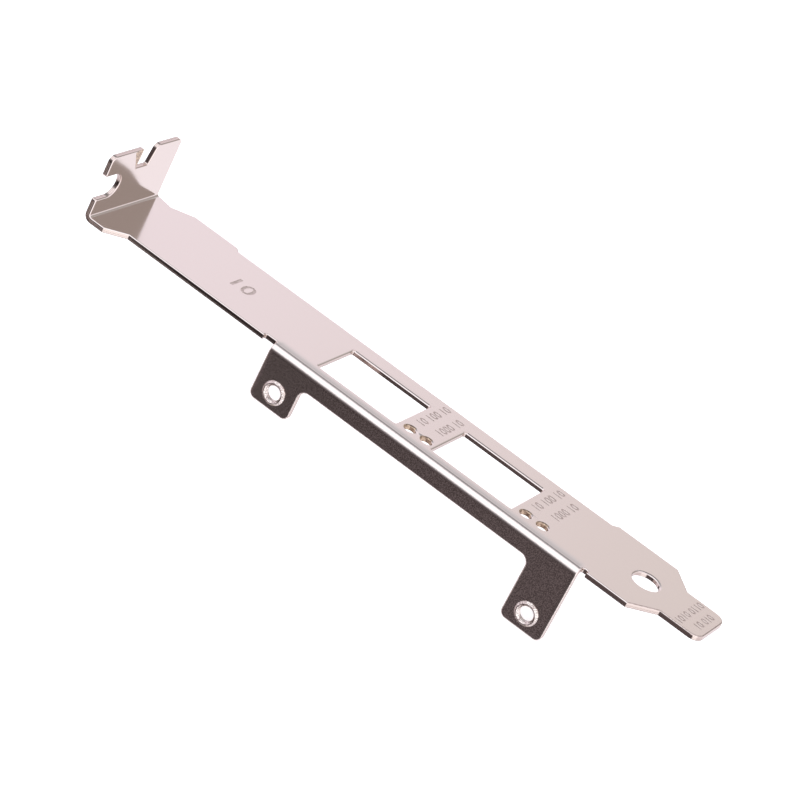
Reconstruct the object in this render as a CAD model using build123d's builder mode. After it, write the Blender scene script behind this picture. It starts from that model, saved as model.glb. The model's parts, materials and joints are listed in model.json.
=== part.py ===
# Expansion slot bracket for a two-port card, punched and folded from one steel sheet.
#
# Frame: the origin is on the fixing screw's axis, in the seat plane where the tab bears on
# the chassis ledge.  +X runs across the blade, away from the flange.  +Y runs along the
# blade, from the tongue to the tab.  +Z points out of the blade's outer face.
# A "drop" is a distance down the blade from the seat plane, toward -Y.  A "rise" or a
# "depth" is a distance from the blade's outer face, toward +Z or -Z.

from build123d import *
import os
from math import radians, tan

# ---- sheet ----
sheet = 0.86                 # thickness of the steel
bend_inner = 0.5             # inside radius of both folds
edge_roll = 0.25             # rounding that the punch leaves along the outer side's outline
opening_bevel = 0.25         # bevel round the windows and holes on the outer side

# ---- blade ----
blade_width = 18.42
blade_length = 120.02        # drop to the end of the tongue
screw_to_centre = 9.34       # fixing screw's axis to the blade's centre line
screw_rise = 5.44            # blade's outer face to the fixing screw's axis
side_relief = 0.94           # the right edge is set in by this between its two steps
relief_start = 16.5          # drop to the upper step
step_to_tip = 23.32          # lower step to the tongue's end

# ---- tab ----
tab_rise = 11.43             # blade's outer face to the tab's free edge
tab_left = 12.38             # centre line to the tab's left edge
tab_right = 7.55             # centre line to the tab's right edge
tab_corner = 1.1             # rounding of the lobes' outer corners
lobe_corner = 0.5            # and of the left lobe's corner beside the slot
notch_width = 4.42           # U-shaped notch for the fixing screw
notch_lip = 0.4              # rounding of the notch's mouth
slot_width = 3.7             # slanted slot between the two lobes
slot_rise = 7.75             # blade's outer face to the slot's floor
slot_left = 4.15             # centre line to the left end of the slot's floor
slot_slant = 13.0            # lean of the slot's sides, in degrees
slot_corner = 0.3
bevel_left = 6.2             # centre line to the bevel's start on the left lobe's top edge
bevel_depth = 0.3            # depth of the bevel at the lobe's corner beside the slot
bevel_reach = 3.0            # width of the tool that presses it

# ---- wing and neck, on the two sides below the tab ----
wing_drop = 3.2              # end of the left wing's straight side
neck_start = 0.9             # drop at which the neck's edge leaves the tab's line
neck_drop = 3.4              # narrowest place of the neck on the right
neck_right = 6.95            # centre line to the neck's edge there
neck_end = 7.2               # drop at which the blade has its full width

# ---- tongue ----
tongue_width = 10.19
tongue_length = 7.5          # its straight part, below the 45 degree shoulders
tongue_corner = 1.9

# ---- port windows and light holes ----
port_width = 11.27           # across the blade
port_length = 16.08          # along the blade
port_left = 6.92             # centre line to the windows' left edge
port_drop = 44.91            # drop to the first window's upper edge
port_gap = 7.28              # blade left between the two windows
port_corner = 0.35
light_radius = 1.0
light_left = 5.55            # centre line to the light holes
light_gap = 2.2              # window's lower edge to the first light hole's centre
light_pitch = 3.3

# ---- round hole above the tongue ----
vent_radius = 2.4
vent_to_tip = 12.92          # its centre to the tongue's end

# ---- flange with its two ears ----
flange_out = 0.99            # the flange's face stands this far left of the blade's edge
flange_start = 37.53         # drop to the flange's upper end
flange_to_tip = 20.46        # its lower end to the tongue's end
web_depth = 3.59             # blade's outer face to the flange's free edge
ear_width = 7.96
upper_ear_depth = 10.05
lower_ear_depth = 14.7
ear_corner = 1.2
ear_fillet = 1.5
upper_relief = 2.3           # length of the notch that frees the fold's upper end
lower_relief = 1.0           # and its lower end
relief_depth = 0.8           # both notches, in from the blade's edge
relief_corner = 0.3

# ---- threaded collars in the ears ----
tip_to_hole = 3.05           # ear's tip to the hole's axis
thread_radius = 1.28         # M3 thread, to its crests
collar_radius = 2.1
collar_height = 0.45
collar_lip = 0.35            # bevel of the collar's outer rim
punch_entry = 0.35           # bevel of the bore on the ear's inner side
thread_mouth = 0.35          # bevel of the bore at the collar's rim

# worked out from the sizes above
face = -screw_rise
back = face - sheet
centre = screw_to_centre
left_edge = centre - blade_width / 2
right_edge = centre + blade_width / 2
relief_edge = right_edge - side_relief
tab_left_edge = centre - tab_left
tab_right_edge = centre + tab_right
slot_start = centre - slot_left
lobe_end = slot_start + (tab_rise - slot_rise) * tan(radians(slot_slant))
wing_end = wing_drop + left_edge - tab_left_edge
relief_end = blade_length - step_to_tip
tongue_start = blade_length - tongue_length
shoulder_drop = tongue_start - (blade_width - tongue_width) / 2
bend_outer = bend_inner + sheet
flange_face = left_edge - flange_out
fold_line = flange_face + bend_outer
notch_edge = left_edge + relief_depth
port_centre = centre - port_left + port_width / 2
port_drops = [port_drop + i * (port_length + port_gap) for i in range(2)]
light_x = centre - light_left
light_drops = [drop + port_length + light_gap + i * light_pitch for drop in port_drops for i in range(2)]
flange_end = blade_length - flange_to_tip
upper_ear_end = flange_start + ear_width
lower_ear_start = flange_end - ear_width
upper_ear_tip = face - upper_ear_depth
lower_ear_tip = face - lower_ear_depth
ear_holes = [
    (-flange_start - ear_width / 2, upper_ear_tip + tip_to_hole),
    (-flange_end + ear_width / 2, lower_ear_tip + tip_to_hole),
]

with BuildPart() as bracket:
    # flat blade: stepped edges, wing and neck at the top, shoulders and tongue at the bottom
    with BuildSketch(Plane.XY.offset(back)) as blade:
        with BuildLine():
            Polyline(
                (tab_right_edge, -bend_inner),
                (tab_right_edge, -neck_start),
                (centre + neck_right, -neck_drop),
                (right_edge, -neck_end),
                (right_edge, -relief_start),
                (relief_edge, -relief_start - side_relief),
                (relief_edge, -relief_end + side_relief),
                (right_edge, -relief_end),
                (right_edge, -shoulder_drop),
                (centre + tongue_width / 2, -tongue_start),
                (centre + tongue_width / 2, -blade_length),
                (centre - tongue_width / 2, -blade_length),
                (centre - tongue_width / 2, -tongue_start),
                (left_edge, -shoulder_drop),
                (left_edge, -flange_end - lower_relief),
                (notch_edge, -flange_end - lower_relief),
                (notch_edge, -flange_end),
                (fold_line, -flange_end),
                (fold_line, -flange_start),
                (notch_edge, -flange_start),
                (notch_edge, -flange_start + upper_relief),
                (left_edge, -flange_start + upper_relief),
                (left_edge, -wing_end),
                (tab_left_edge, -wing_drop),
                (tab_left_edge, -bend_inner),
                close=True,
            )
        make_face()
        fillet(blade.vertices().group_by(Axis.Y)[0], tongue_corner)
        fillet(blade.vertices().filter_by(lambda v: abs(v.X - notch_edge) < 1e-6), relief_corner)
        with Locations([(port_centre, -drop - port_length / 2) for drop in port_drops]):
            RectangleRounded(port_width, port_length, port_corner, mode=Mode.SUBTRACT)
        with Locations([(light_x, -drop) for drop in light_drops]):
            Circle(light_radius, mode=Mode.SUBTRACT)
        with Locations((centre, vent_to_tip - blade_length)):
            Circle(vent_radius, mode=Mode.SUBTRACT)
    extrude(amount=sheet)

    # tab: two lobes between the screw notch and the slanted slot
    with BuildSketch(Plane.XZ) as tab:
        with BuildLine():
            Polyline(
                (tab_left_edge, face + bend_inner),
                (tab_left_edge, face + tab_rise),
                (lobe_end, face + tab_rise),
                (slot_start, face + slot_rise),
                (slot_start + slot_width, face + slot_rise),
                (lobe_end + slot_width, face + tab_rise),
                (tab_right_edge, face + tab_rise),
                (tab_right_edge, face + bend_inner),
                close=True,
            )
        make_face()
        fillet(tab.vertices().group_by(Axis.Y)[-1].sort_by(Axis.X)[1], lobe_corner)
        fillet(tab.vertices().group_by(Axis.Y)[-1].filter_by(lambda v: abs(v.X - lobe_end) > 1), tab_corner)
        fillet(tab.vertices().filter_by(lambda v: abs(v.Y - face - slot_rise) < 1e-6), slot_corner)
        Circle(notch_width / 2, mode=Mode.SUBTRACT)
        with Locations((tab_left_edge, 0)):
            Rectangle(-2 * tab_left_edge, notch_width, mode=Mode.SUBTRACT)
        fillet(
            tab.vertices().filter_by(
                lambda v: abs(abs(v.Y) - notch_width / 2) < 1e-6 and abs(v.X - tab_left_edge) < 1e-6
            ),
            notch_lip,
        )
    extrude(amount=-sheet)

    # fold between blade and tab, toward the outside
    with BuildSketch(Plane.YZ.offset(tab_left_edge)):
        with Locations((-bend_inner, face + bend_inner)):
            Circle(bend_outer)
            Circle(bend_inner, mode=Mode.SUBTRACT)
            Rectangle(bend_outer, bend_outer, align=(Align.MIN, Align.MAX), mode=Mode.INTERSECT)
    extrude(amount=tab_left + tab_right)

    # fold between blade and flange, toward the inside
    with BuildSketch(Plane.XZ.offset(flange_start)):
        with Locations((fold_line, face - bend_outer)):
            Circle(bend_outer)
            Circle(bend_inner, mode=Mode.SUBTRACT)
            Rectangle(bend_outer, bend_outer, align=(Align.MAX, Align.MIN), mode=Mode.INTERSECT)
    extrude(amount=flange_end - flange_start)

    # flat flange: a narrow web with an ear at each end
    with BuildSketch(Plane.YZ.offset(flange_face)) as flange:
        with BuildLine():
            Polyline(
                (-flange_start, face - bend_outer),
                (-flange_start, upper_ear_tip),
                (-upper_ear_end, upper_ear_tip),
                (-upper_ear_end, face - web_depth),
                (-lower_ear_start, face - web_depth),
                (-lower_ear_start, lower_ear_tip),
                (-flange_end, lower_ear_tip),
                (-flange_end, face - bend_outer),
                close=True,
            )
        make_face()
        tips = flange.vertices().filter_by(
            lambda v: abs(v.Y - upper_ear_tip) < 1e-6 or abs(v.Y - lower_ear_tip) < 1e-6
        )
        fillet(tips, ear_corner)
        roots = flange.vertices().filter_by(lambda v: abs(v.Y - face + web_depth) < 1e-6)
        fillet(roots, ear_fillet)
    extrude(amount=sheet)

    # the punch bevels the windows and holes on the outer side, and rounds the sheet's whole outline
    outer_face = bracket.faces().filter_by(Plane.XY).filter_by_position(Axis.Z, face - 0.1, face + 0.1)
    chamfer(outer_face.edges() - outer_face[0].outer_wire().edges(), opening_bevel)
    outer_face = bracket.faces().filter_by(Plane.XY).filter_by_position(Axis.Z, face - 0.1, face + 0.1)
    outline = outer_face[0].outer_wire().edges().filter_by(
        lambda e: e.center().Y < -bend_inner - 0.01 and abs(e.center().X - fold_line) > 0.01
    )
    fillet(outline, edge_roll)

    # the left lobe is bevelled beside the slot, deepest at its top corner
    foot = Vector(slot_start, 0, face + slot_rise)
    bevel_line = Vector(centre - bevel_left, 0, face + tab_rise) - foot
    deepest = Vector(lobe_end, bevel_depth, face + tab_rise)
    with BuildSketch(Plane(foot, x_dir=bevel_line, z_dir=bevel_line.cross(deepest - foot))):
        Rectangle(tab_rise, bevel_reach, align=(Align.MIN, Align.MIN))
    extrude(amount=-sheet, mode=Mode.SUBTRACT)

    # collars drawn outward from the ears, each with a bore for the card's screw
    with BuildSketch(Plane.YZ.offset(flange_face)):
        with Locations(ear_holes):
            Circle(collar_radius)
    extrude(amount=-collar_height)
    chamfer(bracket.edges(Select.LAST).filter_by(GeomType.CIRCLE).group_by(Axis.X)[0], collar_lip)
    with BuildSketch(Plane.YZ.offset(flange_face - collar_height)):
        with Locations(ear_holes):
            Circle(thread_radius)
    extrude(amount=collar_height + sheet, mode=Mode.SUBTRACT)
    rims = bracket.edges(Select.LAST).filter_by(GeomType.CIRCLE).group_by(Axis.X)
    chamfer(rims[-1], punch_entry)
    chamfer(rims[0], thread_mouth)

bracket.part.label = "bracket"
os.makedirs("parts", exist_ok=True)
export_step(bracket.part, "parts/bracket.step")
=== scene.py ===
"""Looks of the expansion slot bracket: one punched and folded strip of nickel-plated steel."""

import json
from math import hypot, pi, radians

import bmesh
import bpy
from mathutils import Matrix, Vector


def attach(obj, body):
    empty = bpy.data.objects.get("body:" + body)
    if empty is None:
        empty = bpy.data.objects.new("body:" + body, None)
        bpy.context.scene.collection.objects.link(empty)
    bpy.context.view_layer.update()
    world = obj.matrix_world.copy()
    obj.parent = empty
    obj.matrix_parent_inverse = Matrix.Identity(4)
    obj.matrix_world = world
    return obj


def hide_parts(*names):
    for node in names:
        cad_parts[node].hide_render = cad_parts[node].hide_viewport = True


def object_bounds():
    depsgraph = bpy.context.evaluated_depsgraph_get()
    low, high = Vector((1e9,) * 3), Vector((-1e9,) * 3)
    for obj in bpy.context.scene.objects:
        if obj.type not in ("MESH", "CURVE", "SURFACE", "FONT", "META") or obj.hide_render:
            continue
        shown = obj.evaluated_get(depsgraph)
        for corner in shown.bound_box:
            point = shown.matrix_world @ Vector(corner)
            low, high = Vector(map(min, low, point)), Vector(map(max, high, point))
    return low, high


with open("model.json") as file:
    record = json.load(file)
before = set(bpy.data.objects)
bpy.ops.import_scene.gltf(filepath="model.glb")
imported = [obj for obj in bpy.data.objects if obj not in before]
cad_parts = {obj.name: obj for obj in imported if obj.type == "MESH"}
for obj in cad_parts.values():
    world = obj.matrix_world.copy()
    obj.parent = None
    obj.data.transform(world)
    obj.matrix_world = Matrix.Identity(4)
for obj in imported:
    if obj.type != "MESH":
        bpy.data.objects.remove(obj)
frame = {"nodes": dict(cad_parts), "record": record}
cad_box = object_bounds()


# ---- sheet ----
# The bracket itself: cold-rolled steel, 0.86 mm thick, punched, folded twice and drawn into two
# collars.  A merged copy of the solid stands for it here, so that the threads and the stamped
# figures can be cut into real metal.
MM = 0.001
THICKNESS = 0.86 * MM
BEND_INNER = 0.5 * MM  # inside radius of both folds
BLADE_FACE = -5.44 * MM  # height of the blade's outer face
FLANGE_FACE = -0.86 * MM  # the flange's outer face, across the blade
FLANGE_ENDS = (-99.57 * MM, -37.52 * MM)  # and its two ends, along the blade
MERGE_REACH = 0.0005 * MM


def take_up(piece):
    """Selects a piece alone, so that the next operator acts on nothing else."""
    bpy.ops.object.select_all(action="DESELECT")
    piece.select_set(True)
    bpy.context.view_layer.objects.active = piece


sheet = frame["nodes"]["bracket"].copy()
sheet.data = sheet.data.copy()
sheet.name = "sheet"
bpy.context.collection.objects.link(sheet)
take_up(sheet)
bpy.ops.mesh.customdata_custom_splitnormals_clear()
bpy.ops.object.mode_set(mode="EDIT")
bpy.ops.mesh.select_all(action="SELECT")
bpy.ops.mesh.remove_doubles(threshold=MERGE_REACH)
bpy.ops.mesh.dissolve_limited(angle_limit=radians(0.05))
bpy.ops.object.mode_set(mode="OBJECT")
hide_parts("bracket")
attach(sheet, "root")


def cut_from_sheet(cutter):
    """Takes the cutter's volume out of the sheet and deletes the cutter."""
    take_up(sheet)
    cut = sheet.modifiers.new("cut", "BOOLEAN")
    cut.operation = "DIFFERENCE"
    cut.solver = "EXACT"
    cut.object = cutter
    bpy.ops.object.modifier_apply(modifier=cut.name)
    bpy.data.objects.remove(cutter)


# ---- threads ----
# Both collars are tapped M3 for the card's screws: a 60 degree groove that winds through the
# bore at 0.5 mm a turn.  One cutter is wound for each collar and taken out of the sheet.
PITCH = 0.5 * MM
CREST_RADIUS = 1.28 * MM
ROOT_RADIUS = 1.5 * MM
ROOT_FLAT = PITCH / 8
FLANK = 0.577  # how far one side of the groove spreads for each millimetre of its depth
CUTTER_OVERLAP = 0.05 * MM  # the cutter starts this far inside the bore
TURNS = 5
STEPS_PER_TURN = 40
mounts = {mount["name"]: mount for mount in frame["record"]["mounts"]}
screw_holes = [Vector(mounts[name]["pos_m"]) for name in ("card_screw_upper", "card_screw_lower")]
for hole in screw_holes:
    inside = CREST_RADIUS - CUTTER_OVERLAP
    half_mouth = ROOT_FLAT / 2 + (ROOT_RADIUS - inside) * FLANK
    bpy.ops.object.select_all(action="DESELECT")
    bpy.ops.mesh.primitive_plane_add(size=1, location=(0, 0, 0))
    cutter = bpy.context.object
    for vertex in cutter.data.vertices:
        at_root = vertex.co.x > 0
        side = 1 if vertex.co.y > 0 else -1
        vertex.co = (
            ROOT_RADIUS if at_root else inside,
            0,
            side * (ROOT_FLAT / 2 if at_root else half_mouth),
        )
    wind = cutter.modifiers.new("wind", "SCREW")
    wind.axis = "Z"
    wind.screw_offset = PITCH
    wind.iterations = TURNS
    wind.steps = wind.render_steps = STEPS_PER_TURN
    wind.use_merge_vertices = False
    bpy.ops.object.modifier_apply(modifier=wind.name)
    bpy.ops.object.mode_set(mode="EDIT")
    bpy.ops.mesh.select_all(action="DESELECT")
    bpy.ops.mesh.select_mode(type="EDGE")
    bpy.ops.mesh.select_non_manifold()
    bpy.ops.mesh.edge_face_add()
    bpy.ops.mesh.select_all(action="SELECT")
    bpy.ops.mesh.normals_make_consistent(inside=False)
    bpy.ops.object.mode_set(mode="OBJECT")
    start = Matrix.Translation(hole - Vector((TURNS * PITCH / 2, 0, 0)))
    cutter.matrix_world = start @ Matrix.Rotation(pi / 2, 4, "Y")
    bpy.ops.object.transform_apply(location=True, rotation=True, scale=True)
    cut_from_sheet(cutter)


# ---- stamped figures ----
# Plain ones and noughts pressed 0.05 mm into the blade: rows beside the light holes and on the
# tongue, and two large ones below the tab.  Their strokes are round-bottomed.
CAP_SHARE = 0.7  # a figure's height as a share of its font size
SPACING = 1.05
STROKE_THINNING = 0.08 * MM
STROKE_RADIUS = 0.15 * MM
STROKE_FLATNESS = 0.35  # the strokes go in by this share of their radius
STROKE_LIMIT = 0.09 * MM  # and no stroke goes in further than this
PORT_ROW_HEIGHT = 1.6 * MM
PORT_ROW_X = 11.6 * MM
PORT_ROWS_Y = (-63.1 * MM, -86.5 * MM)
PORT_ROW_STEP = 3.3 * MM  # each light hole has its own row
TONGUE_ROW_HEIGHT = 1.4 * MM
LARGE_HEIGHT = 3.4 * MM


def stamp(text, height, x, y, turned=0.0):
    """Presses a line of figures, centred on x and y, into the blade's outer face."""
    bpy.ops.object.select_all(action="DESELECT")
    bpy.ops.object.text_add(location=(0, 0, 0))
    figures = bpy.context.object
    figures.data.body = text
    figures.data.align_x = "CENTER"
    figures.data.align_y = "CENTER"
    figures.data.size = height / CAP_SHARE
    figures.data.space_character = SPACING
    figures.data.offset = -STROKE_THINNING
    figures.data.bevel_depth = STROKE_RADIUS
    figures.data.bevel_resolution = 1
    figures.data.resolution_u = 3
    bpy.ops.object.convert(target="MESH")
    figures = bpy.context.object
    bpy.ops.object.mode_set(mode="EDIT")
    bpy.ops.mesh.select_all(action="SELECT")
    bpy.ops.mesh.remove_doubles(threshold=MERGE_REACH)
    bpy.ops.object.mode_set(mode="OBJECT")
    figures.rotation_euler = (0, 0, turned)
    figures.scale = (1, 1, STROKE_FLATNESS)
    figures.location = (x, y, BLADE_FACE)
    bpy.ops.object.transform_apply(location=True, rotation=True, scale=True)
    cut_from_sheet(figures)


for row in PORT_ROWS_Y:
    stamp("10 100 10", PORT_ROW_HEIGHT, PORT_ROW_X, row)
    stamp("1000 10", PORT_ROW_HEIGHT, PORT_ROW_X, row - PORT_ROW_STEP)
stamp("1010 0110", TONGUE_ROW_HEIGHT, 9.34 * MM, -115.6 * MM)
stamp("10 010", TONGUE_ROW_HEIGHT, 9.7 * MM, -118.2 * MM)
stamp("10", LARGE_HEIGHT, 8.6 * MM, -24.5 * MM, radians(-90))


# ---- depth through the sheet ----
# The sheet's edges were sheared from the outer side: first rolled over, then cut smooth, then
# torn.  A vertex value from 0 at the outer side to 1 at the inner side says where each zone lies.
BEND_OUTER = BEND_INNER + THICKNESS
FOLD_LINE = FLANGE_FACE + BEND_OUTER  # where the flange's fold starts, across the blade


def through_sheet(point):
    """Depth from the outer side, as a share of the thickness, and the outer side's direction."""
    x, y, z = point
    if y > -BEND_INNER and z > BLADE_FACE + BEND_INNER:
        return y / THICKNESS, Vector((0, -1, 0))
    if y > -BEND_INNER:
        arm = Vector((0, y + BEND_INNER, z - BLADE_FACE - BEND_INNER))
        return (arm.length - BEND_INNER) / THICKNESS, -arm.normalized()
    if x < FOLD_LINE and FLANGE_ENDS[0] < y < FLANGE_ENDS[1]:
        if z < BLADE_FACE - BEND_OUTER:
            return (x - FLANGE_FACE) / THICKNESS, Vector((-1, 0, 0))
        arm = Vector((x - FOLD_LINE, 0, z - BLADE_FACE + BEND_OUTER))
        return (BEND_OUTER - arm.length) / THICKNESS, arm.normalized()
    return (BLADE_FACE - z) / THICKNESS, Vector((0, 0, 1))


depth = sheet.data.attributes.new("depth", "FLOAT", "POINT")
for vertex in sheet.data.vertices:
    depth.data[vertex.index].value = through_sheet(vertex.co)[0]


# ---- plating ----
# Bright nickel from a barrel plating line, over the mill's own surface: a warm, slightly soft
# mirror.  Where the sheet was drawn round the fold and beaten flat on the flange it is grainy.
NICKEL, DULL_NICKEL = "#E6DBD6", "#AFA49F"
NICKEL_ROUGHNESS, DULL_ROUGHNESS = 0.13, 0.2
# the tool that folds the flange dishes the strip of blade beside the fold by up to 4 degrees
DISH_START, DISH_END, DISH_SLOPE = 2.6 * MM, 0.5 * MM, 0.079
# its mark fades out over a millimetre or so past both ends of the fold
FOLD_FADES = ((-37.0 * MM, -38.5 * MM), (-100.2 * MM, -98.8 * MM))
# the drawn metal's grain comes in spots of about 0.3 mm, twice as high on the fold as lower down
DRAWN_START, DRAWN_FULL = 0.7 * MM, 0.1 * MM
FOLD_FOOT, FOLD_TOP = -7.5 * MM, -6.6 * MM
GRAIN_PER_MM = 3.4
PLAIN_GRAIN, FLANGE_GRAIN, FOLD_GRAIN = 0.0004 * MM, 0.0055 * MM, 0.011 * MM
# the flange also has dull specks, 0.2 mm across, where its surface opened under the plating
SPECKS_START, SPECKS_FULL = -6.2 * MM, -6.7 * MM
SPECKS_PER_MM = 5.0


def to_linear(hex_colour):
    """sRGB hex to the linear colour that a shader socket takes."""
    channels = [int(hex_colour[i : i + 2], 16) / 255 for i in (1, 3, 5)]
    return [c / 12.92 if c <= 0.04045 else ((c + 0.055) / 1.055) ** 2.4 for c in channels] + [1.0]


def add_node(tree, kind, settings=None, links=None):
    """Adds a node: settings sets its properties and sockets, links joins its inputs to outputs."""
    node = tree.nodes.new(kind)
    for name, value in (settings or {}).items():
        if isinstance(name, str) and hasattr(node, name):
            setattr(node, name, value)
        else:
            node.inputs[name].default_value = value
    for name, source in (links or {}).items():
        tree.links.new(source, node.inputs[name])
    return node


def plate(name):
    """Adds a metal to the sheet; gives it, its tree, its shader and its places in millimetres."""
    metal = bpy.data.materials.new(name)
    metal.use_nodes = True
    sheet.data.materials.append(metal)
    tree = metal.node_tree
    shader = tree.nodes["Principled BSDF"]
    shader.inputs["Metallic"].default_value = 1.0
    place = add_node(tree, "ShaderNodeTexCoord").outputs["Object"]
    in_mm = add_node(tree, "ShaderNodeMapping", {"Scale": (1000, 1000, 1000)}, {"Vector": place})
    return metal, tree, shader, in_mm.outputs["Vector"]


sheet.data.materials.clear()
nickel, tree, shader, in_mm = plate("bright nickel plate")
place = add_node(tree, "ShaderNodeTexCoord").outputs["Object"]
along = add_node(tree, "ShaderNodeSeparateXYZ", links={"Vector": place})
fades = [
    add_node(
        tree,
        "ShaderNodeMapRange",
        {"interpolation_type": "SMOOTHSTEP", "From Min": start, "From Max": full},
        {"Value": along.outputs["Y"]},
    ).outputs["Result"]
    for start, full in FOLD_FADES
]
beside_fold = add_node(
    tree, "ShaderNodeMath", {"operation": "MULTIPLY"}, {0: fades[0], 1: fades[1]}
).outputs["Value"]
dish = add_node(
    tree,
    "ShaderNodeMapRange",
    {"From Min": DISH_START, "From Max": DISH_END},
    {"Value": along.outputs["X"]},
).outputs["Result"]
for share in (dish, beside_fold):
    dish = add_node(
        tree, "ShaderNodeMath", {"operation": "MULTIPLY"}, {0: dish, 1: share}
    ).outputs["Value"]
dish = add_node(
    tree,
    "ShaderNodeMath",
    {"operation": "MULTIPLY", 1: -DISH_SLOPE * (DISH_START - DISH_END) / 2},
    {0: dish},
).outputs["Value"]
drawn = add_node(
    tree,
    "ShaderNodeMapRange",
    {"interpolation_type": "SMOOTHSTEP", "From Min": DRAWN_START, "From Max": DRAWN_FULL},
    {"Value": along.outputs["X"]},
).outputs["Result"]
drawn = add_node(
    tree, "ShaderNodeMath", {"operation": "MULTIPLY"}, {0: drawn, 1: beside_fold}
).outputs["Value"]
drawn_grain = add_node(
    tree,
    "ShaderNodeMapRange",
    {"From Min": FOLD_FOOT, "From Max": FOLD_TOP, "To Min": FLANGE_GRAIN, "To Max": FOLD_GRAIN},
    {"Value": along.outputs["Z"]},
).outputs["Result"]
grain_height = add_node(
    tree,
    "ShaderNodeMath",
    {"operation": "MULTIPLY_ADD", 2: PLAIN_GRAIN},
    {0: drawn, 1: drawn_grain},
).outputs["Value"]
grain = add_node(
    tree,
    "ShaderNodeTexNoise",
    {"Scale": GRAIN_PER_MM, "Detail": 2.0, "Roughness": 0.5},
    {"Vector": in_mm},
).outputs["Fac"]
heights = add_node(
    tree, "ShaderNodeMath", {"operation": "MULTIPLY_ADD"}, {0: grain, 1: grain_height, 2: dish}
).outputs["Value"]
bump = add_node(tree, "ShaderNodeBump", {"Strength": 1.0, "Distance": 1.0}, {"Height": heights})
specks = add_node(
    tree, "ShaderNodeTexNoise", {"Scale": SPECKS_PER_MM, "Detail": 1.0}, {"Vector": in_mm}
).outputs["Fac"]
specks = add_node(
    tree, "ShaderNodeMapRange", {"From Min": 0.4, "From Max": 0.62}, {"Value": specks}
).outputs["Result"]
on_flange = add_node(
    tree,
    "ShaderNodeMapRange",
    {"From Min": SPECKS_START, "From Max": SPECKS_FULL},
    {"Value": along.outputs["Z"]},
).outputs["Result"]
for share in (drawn, on_flange):
    specks = add_node(
        tree, "ShaderNodeMath", {"operation": "MULTIPLY"}, {0: specks, 1: share}
    ).outputs["Value"]
softness = add_node(
    tree,
    "ShaderNodeMapRange",
    {"To Min": NICKEL_ROUGHNESS, "To Max": DULL_ROUGHNESS},
    {"Value": specks},
)
tone = add_node(
    tree,
    "ShaderNodeMix",
    {"data_type": "RGBA", 6: to_linear(NICKEL), 7: to_linear(DULL_NICKEL)},
    {"Factor": specks},
)
tree.links.new(tone.outputs[2], shader.inputs["Base Color"])
tree.links.new(softness.outputs["Result"], shader.inputs["Roughness"])
tree.links.new(bump.outputs["Normal"], shader.inputs["Normal"])


# ---- sheared edges ----
# The punched edges all round the outline, the windows and the holes, plated with the rest: a
# shiny cut zone below the rolled corner, and a duller torn zone with a ragged start below it.
# the second tone is the painted shade of the dark lines below
CUT_TONE, SHADE_LINE_TONE = "#D2C3BC", "#7E6E68"
RAGGEDNESS = 0.16  # as a share of the thickness, as all depths here are
TEAR_START, TEAR_FULL = 0.66, 0.72
CUT_ROUGHNESS, TORN_ROUGHNESS = 0.07, 0.15
CUT_RELIEF, TORN_RELIEF = 0.0005 * MM, 0.006 * MM
# painted shade: dark lines, each with its depth and half its width, painted where the edge's
# creases shade it: at the roll's foot, where the tear starts, and at its end
PAINTED_SHADE_LINES = ((0.1, 0.035), (0.68, 0.02), (1.04, 0.045))
COLLAR_REACH = 2.4 * MM  # the collars' lips and bores, which aren't sheared, lie within this
sheared, tree, shader, in_mm = plate("nickel plate on a sheared edge")
ragged = add_node(
    tree, "ShaderNodeTexNoise", {"Scale": 2.2, "Detail": 3.0}, {"Vector": in_mm}
).outputs["Fac"]
zone = add_node(tree, "ShaderNodeAttribute", {"attribute_name": "depth"}).outputs["Fac"]
zone = add_node(
    tree, "ShaderNodeMath", {"operation": "MULTIPLY_ADD", 1: RAGGEDNESS}, {0: ragged, 2: zone}
).outputs["Value"]
roughness, tear_height = (
    add_node(
        tree,
        "ShaderNodeMapRange",
        {"From Min": TEAR_START, "From Max": TEAR_FULL, "To Min": cut, "To Max": torn},
        {"Value": zone},
    ).outputs["Result"]
    for cut, torn in ((CUT_ROUGHNESS, TORN_ROUGHNESS), (CUT_RELIEF, TORN_RELIEF))
)
tears = add_node(
    tree, "ShaderNodeTexNoise", {"Scale": 5.0, "Detail": 2.0}, {"Vector": in_mm}
).outputs["Fac"]
heights = add_node(
    tree, "ShaderNodeMath", {"operation": "MULTIPLY"}, {0: tears, 1: tear_height}
).outputs["Value"]
bump = add_node(tree, "ShaderNodeBump", {"Strength": 1.0, "Distance": 1.0}, {"Height": heights})
# the lines' darkness is painted shade, laid over the edge's own tone
shade_lines = None
for at, half in PAINTED_SHADE_LINES:
    band = add_node(
        tree, "ShaderNodeMath", {"operation": "COMPARE", 1: at, 2: half}, {0: zone}
    ).outputs["Value"]
    if shade_lines is not None:
        band = add_node(
            tree, "ShaderNodeMath", {"operation": "MAXIMUM"}, {0: shade_lines, 1: band}
        ).outputs["Value"]
    shade_lines = band
tone = add_node(
    tree,
    "ShaderNodeMix",
    {"data_type": "RGBA", 6: to_linear(CUT_TONE), 7: to_linear(SHADE_LINE_TONE)},
    {"Factor": shade_lines},
)
tree.links.new(tone.outputs[2], shader.inputs["Base Color"])
tree.links.new(roughness, shader.inputs["Roughness"])
tree.links.new(bump.outputs["Normal"], shader.inputs["Normal"])
for face in sheet.data.polygons:
    centre = face.center
    across_sheet = abs(face.normal.dot(through_sheet(centre)[1])) < 0.5
    from_hole = min(hypot(centre.y - hole.y, centre.z - hole.z) for hole in screw_holes)
    in_collar = from_hole < COLLAR_REACH and centre.x < 0.1 * MM
    face.material_index = int(across_sheet and not in_collar)
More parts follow.
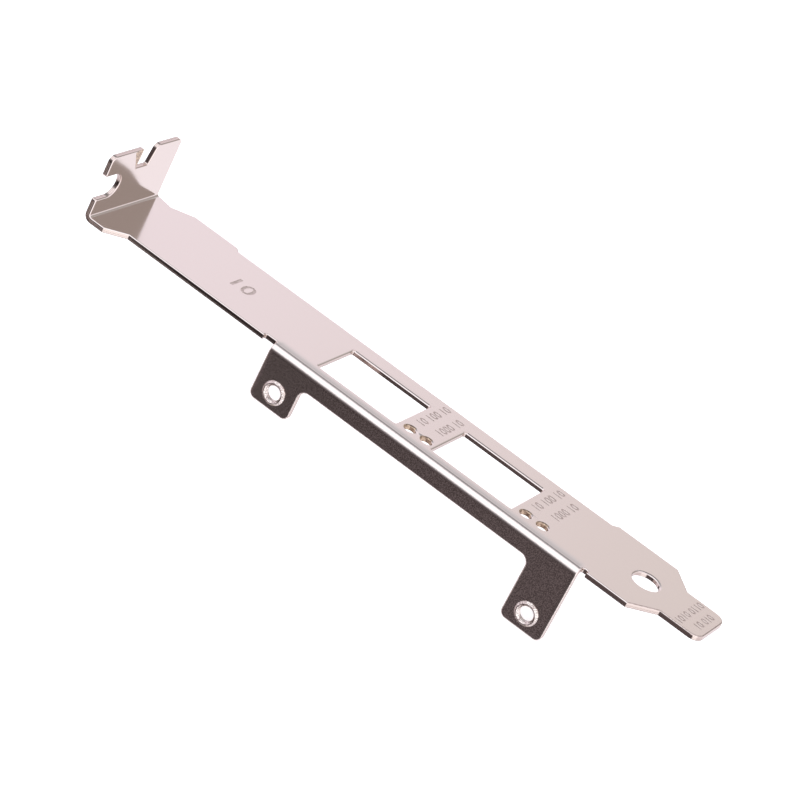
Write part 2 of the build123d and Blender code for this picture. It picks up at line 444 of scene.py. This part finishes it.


# ---- painted shade in the light holes, beside the slot and in the strokes ----
# The four light holes' walls and the bevel beside the tab's slot are brown and streaky: painted
# shade, darker than the bright nickel would mirror there.
# The strokes of the figures get a little grey painted shade in their hollows.
LIGHT_HOLE_X = 3.79 * MM
LIGHT_HOLES_Y = (-62.84 * MM, -66.14 * MM, -86.2 * MM, -89.5 * MM)
LIGHT_HOLE_REACH = 1.3 * MM
HOLE_SHADE_PALE, HOLE_SHADE_DARK = "#D2BBA3", "#9C8777"
STROKE_SHADE_PALE, STROKE_SHADE_DARK = "#D3C5BF", "#BAABA4"


def in_stroke(point):
    """Whether a point lies in a stamped stroke, just below the blade's outer face."""
    return point.x > 2 * MM and BLADE_FACE - STROKE_LIMIT < point.z < BLADE_FACE - 0.001 * MM


# painted shade for the light holes' walls and the slot's bevel: brown, with random streaks
hole_shade, tree, shader, in_mm = plate("painted shade in the light holes and on the slot's bevel")
streaks = add_node(
    tree, "ShaderNodeTexNoise", {"Scale": 2.6, "Detail": 2.0}, {"Vector": in_mm}
).outputs["Fac"]
streaks = add_node(
    tree, "ShaderNodeMapRange", {"From Min": 0.42, "From Max": 0.6}, {"Value": streaks}
).outputs["Result"]
tone = add_node(
    tree,
    "ShaderNodeMix",
    {"data_type": "RGBA", 6: to_linear(HOLE_SHADE_PALE), 7: to_linear(HOLE_SHADE_DARK)},
    {"Factor": streaks},
)
tone.name = "tone"
tree.links.new(tone.outputs[2], shader.inputs["Base Color"])
shader.inputs["Roughness"].default_value = 0.3
# a greyer copy is the painted shade in the stamped strokes
stroke_shade = hole_shade.copy()
stroke_shade.name = "painted shade in the stamped strokes"
tone = stroke_shade.node_tree.nodes["tone"]
tone.inputs[6].default_value = to_linear(STROKE_SHADE_PALE)
tone.inputs[7].default_value = to_linear(STROKE_SHADE_DARK)
sheet.data.materials.append(stroke_shade)
# the light holes' walls and the slot's bevel take the painted shade, and so do the strokes
for face in sheet.data.polygons:
    centre = face.center
    flatness = abs(face.normal.dot(through_sheet(centre)[1]))
    from_light = min(hypot(centre.x - LIGHT_HOLE_X, centre.y - y) for y in LIGHT_HOLES_Y)
    in_light_hole = from_light < LIGHT_HOLE_REACH and flatness < 0.95
    on_left_lobe = centre.y > -BEND_INNER and centre.z > 2 * MM and 3 * MM < centre.x < 7 * MM
    if in_light_hole or (on_left_lobe and 0.98 < flatness < 0.999):
        face.material_index = 2
    if in_stroke(centre):
        face.material_index = 3


# ---- rolled corners ----
# The punch rolls the sheet's corner over before it cuts, so the bevels round the outline and the
# openings turn softly out of the face.  The stamped strokes keep their crisp edges.
SHARP_FROM, ROLLED_TO = radians(32), radians(50)
take_up(sheet)
bpy.ops.object.shade_smooth_by_angle(angle=SHARP_FROM)
shape = bmesh.new()
shape.from_mesh(sheet.data)
depth_layer = shape.verts.layers.float["depth"]
for edge in shape.edges:
    if len(edge.link_faces) == 2 and SHARP_FROM <= edge.calc_face_angle() < ROLLED_TO:
        if max(abs(vertex[depth_layer]) for vertex in edge.verts) < 0.01:
            edge.smooth = True
for face in shape.faces:
    if in_stroke(face.calc_center_median()):
        for edge in face.edges:
            edge.smooth = False
shape.to_mesh(sheet.data)
shape.free()
weighting = sheet.modifiers.new("flat faces stay flat", "WEIGHTED_NORMAL")
weighting.keep_sharp = True
weighting.weight = 100
bpy.ops.object.modifier_apply(modifier=weighting.name)


# ---- floor ----
# A wide white light table below the ears, matt and lit from inside too.  It isn't part of the
# bracket, whose bare metal mirrors only the light tent.
lowest = cad_box[0].z
bpy.ops.object.select_all(action="DESELECT")
bpy.ops.mesh.primitive_plane_add(size=6.0, location=(0, 0, lowest))
floor = bpy.context.object
floor.name = "floor"
floor.visible_glossy = False
table = bpy.data.materials.new("white light table")
table.use_nodes = True
shader = table.node_tree.nodes["Principled BSDF"]
shader.inputs["Base Color"].default_value = to_linear("#F8F8F8")
shader.inputs["Roughness"].default_value = 0.9
shader.inputs["Specular IOR Level"].default_value = 0.0
shader.inputs["Emission Color"].default_value = to_linear("#FFFFFF")
shader.inputs["Emission Strength"].default_value = 0.46
floor.data.materials.append(table)


# ---- studio ----
# A light tent round the bracket, so that the bare metal has something to mirror.  Directions are
# told by their turn about the blade's length, from +X up over the blade, and by their lean
# toward the tab.
studio = bpy.data.worlds.new("light tent")
bpy.context.scene.world = studio
studio.use_nodes = True
tree = studio.node_tree
background = tree.nodes["Background"]
direction = add_node(tree, "ShaderNodeTexCoord").outputs["Generated"]
parts = add_node(tree, "ShaderNodeSeparateXYZ", links={"Vector": direction})
turn = add_node(
    tree,
    "ShaderNodeMath",
    {"operation": "ARCTAN2"},
    {0: parts.outputs["Z"], 1: parts.outputs["X"]},
).outputs["Value"]
lean = parts.outputs["Y"]


def lay_over(light, patch, *edges):
    """Lays a patch over the tent's light.  Each edge is a measure, where the patch starts to
    show and where it shows in full; a patch with several edges shows where all of them let it."""
    share = None
    for measure, start, full in edges:
        edge = add_node(
            tree,
            "ShaderNodeMapRange",
            {"interpolation_type": "SMOOTHSTEP", "From Min": start, "From Max": full},
            {"Value": measure},
        ).outputs["Result"]
        if share is not None:
            edge = add_node(
                tree, "ShaderNodeMath", {"operation": "MULTIPLY"}, {0: share, 1: edge}
            ).outputs["Value"]
        share = edge
    laid = add_node(tree, "ShaderNodeMix", {"data_type": "RGBA"}, {"Factor": share})
    for socket, colour in ((laid.inputs[6], light), (laid.inputs[7], patch)):
        if isinstance(colour, tuple):
            socket.default_value = (*colour, 1)
        else:
            tree.links.new(colour, socket)
    return laid.outputs[2]


# white cloth all round, a little dimmer and yellower toward the tongue's end
light = lay_over((0.84, 0.79, 0.775), (1.06, 0.99, 1.07), (lean, 0.14, 0.42))
light = lay_over(light, (1.12, 1.07, 1.13), (lean, 0.1, -0.2))
# a second lamp low to the left and behind the tongue, which whitens the collars' lips
light = lay_over(light, (1.55, 1.55, 1.6), (parts.outputs["X"], -0.1, -0.3), (lean, -0.3, -0.45))
# grey cloth low on the left, past the tab's end
LOW_LEFT = ((turn, radians(-124), radians(-134)), (turn, radians(-179), radians(-172)))
light = lay_over(light, (0.56, 0.5, 0.5), *LOW_LEFT, (lean, 0.3, 0.4))
# the band that the blade, the fold and the flange mirror: lamp above, dark room to the left
STOPS = (
    (-180, 0.07),
    (-152, 0.095),
    (-128, 0.11),
    (-112, 0.66),
    (20, 0.66),
    (29, 0.62),
    (35, 0.50),
    (41, 0.34),
    (50, 0.24),
    (66, 0.23),
    (76, 0.55),
    (86, 0.95),
    (138, 0.95),
    (148, 0.55),
    (157, 0.16),
    (170, 0.09),
    (180, 0.07),
)
LAMP = 1.5
ROOM_BELOW = 0.12  # a stop darker than this is the room, which is redder than the lamp
ROOM_TINT, LAMP_TINT = (1, 0.82, 0.86), (1, 1.01, 1.07)
around = add_node(
    tree, "ShaderNodeMapRange", {"From Min": -pi, "From Max": pi}, {"Value": turn}
).outputs["Result"]
ramp = add_node(tree, "ShaderNodeValToRGB", links={"Fac": around})
stops = ramp.color_ramp.elements
while len(stops) > 1:
    stops.remove(stops[-1])
for index, (degrees, value) in enumerate(STOPS):
    position = (degrees + 180) / 360
    stop = stops[0] if index == 0 else stops.new(position)
    stop.position = position
    tint = ROOM_TINT if value < ROOM_BELOW else LAMP_TINT
    stop.color = (*(value * part for part in tint), 1)
band = add_node(
    tree, "ShaderNodeVectorMath", {"operation": "SCALE", "Scale": LAMP}, {0: ramp.outputs["Color"]}
).outputs["Vector"]
# past the room, under the blade and up its right side, the band is plain cloth again
band = lay_over(
    band, light, (turn, radians(-116), radians(-110)), (turn, radians(35), radians(31))
)
reach = add_node(
    tree,
    "ShaderNodeMath",
    {"operation": "MULTIPLY_ADD", 1: -0.25},
    {0: parts.outputs["Z"], 2: lean},
).outputs["Value"]
# the dark room below the left horizon reaches further toward the tongue than the lamp does
ROOM_START, ROOM_FULL = radians(-124), radians(-134)
below_left = add_node(
    tree,
    "ShaderNodeMapRange",
    {"interpolation_type": "SMOOTHSTEP", "From Min": ROOM_START, "From Max": ROOM_FULL},
    {"Value": turn},
).outputs["Result"]
room = add_node(
    tree, "ShaderNodeMath", {"operation": "MULTIPLY_ADD", 1: 0.45}, {0: below_left, 2: lean}
).outputs["Value"]
IN_BAND = ((room, -0.1, 0.0), (reach, 0.52, 0.495))
light = lay_over(light, band, *IN_BAND)
# that room is darkest up toward the tab's end
light = lay_over(light, (0.02, 0.017, 0.018), *LOW_LEFT, *IN_BAND, (lean, 0.26, 0.38))
# and a dark gap in the tent, past the tab's end, breaks up the rings that the collars' lips mirror
light = lay_over(
    light,
    (0.1, 0.09, 0.09),
    (turn, radians(-80), radians(-70)),
    (turn, radians(-36), radians(-44)),
    (lean, 0.7, 0.78),
    (lean, 0.94, 0.9),
)
# a grey card beyond the blade's right edge, low toward the tongue, which the inner corner mirrors
light = lay_over(
    light,
    (0.465, 0.435, 0.42),
    (turn, radians(6), radians(12)),
    (turn, radians(60), radians(50)),
    (lean, -0.62, -0.55),
    (lean, 0.02, -0.08),
)
tree.links.new(light, background.inputs["Color"])
background.inputs["Strength"].default_value = 1.0
bpy.context.scene.view_settings.view_transform = "Standard"


# ---- camera ----
# A long lens, half a metre off, above and to the left of the blade.  It is held out of level, so
# that the blade runs down from the tab at the upper left to the tongue at the lower right.
CAMERA_PLACE = Vector((-420.40, -212.23, 228.95)) * MM
CAMERA_RIGHT = Vector((0.49680, -0.76845, 0.40333))
CAMERA_FORWARD = Vector((0.83704, 0.30151, -0.45656))
bpy.ops.object.select_all(action="DESELECT")
bpy.ops.object.camera_add()
camera = bpy.context.object
camera.name = "camera"
right = CAMERA_RIGHT.normalized()
up = right.cross(CAMERA_FORWARD).normalized()
turned = Matrix((right, up, -CAMERA_FORWARD)).transposed().to_4x4()
camera.matrix_world = Matrix.Translation(CAMERA_PLACE) @ turned
camera.data.lens = 144.86
camera.data.sensor_width = 36
camera.data.clip_start = 0.01
bpy.context.scene.camera = camera
